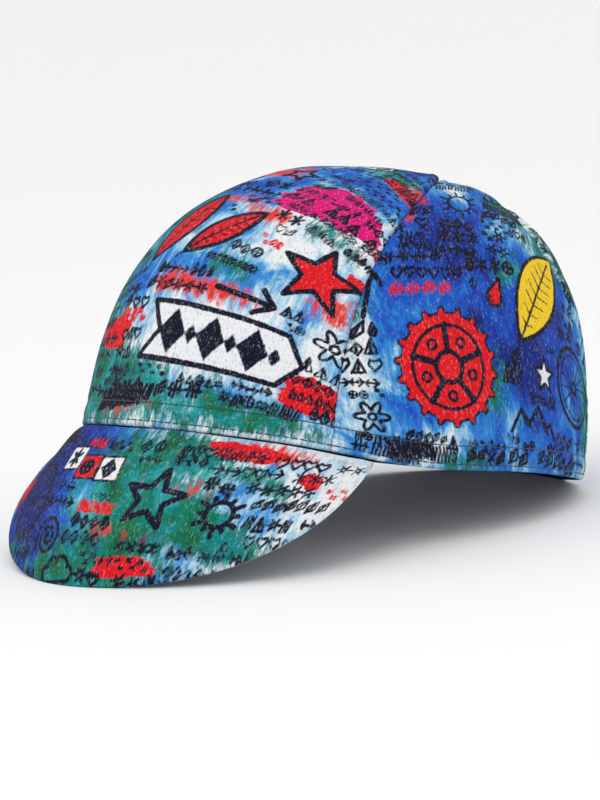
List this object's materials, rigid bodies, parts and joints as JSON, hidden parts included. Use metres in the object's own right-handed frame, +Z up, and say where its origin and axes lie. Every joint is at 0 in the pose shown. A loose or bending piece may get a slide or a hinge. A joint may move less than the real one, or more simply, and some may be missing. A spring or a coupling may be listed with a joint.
{
  "type": "cycling cap",
  "caption": "Soft cotton cycling cap: a domed crown of gores over an oval rim with a stitched hem, and a steep turned-down peak, open below for the head.",
  "frame": {"origin": "centre of the cap's footprint on the flat surface it rests on", "axes": "+Z up from the surface, -Y the way the peak points, +X the wearer's left"},
  "size_m": [0.1554, 0.2359, 0.1231],
  "materials": {
    "front_cloth": "printed cotton poplin, white with blue, teal and red areas, matt",
    "side_cloth": "printed cotton poplin, azure with white clouds, matt",
    "back_cloth": "printed cotton poplin, blue into teal and red, matt",
    "hem_cloth": "plain cotton, navy, matt",
    "peak_cloth": "printed cotton poplin, blue into teal and white, matt",
    "peak_under_cloth": "printed cotton poplin, azure, matt"
  },
  "bodies": {
    "root": {"front_panel": "front_cloth", "left_panel": "side_cloth", "right_panel": "side_cloth", "back_panel": "back_cloth", "hem_band": "hem_cloth", "peak_top": "peak_cloth", "peak_under": "peak_under_cloth"}
  },
  "joints": []
}
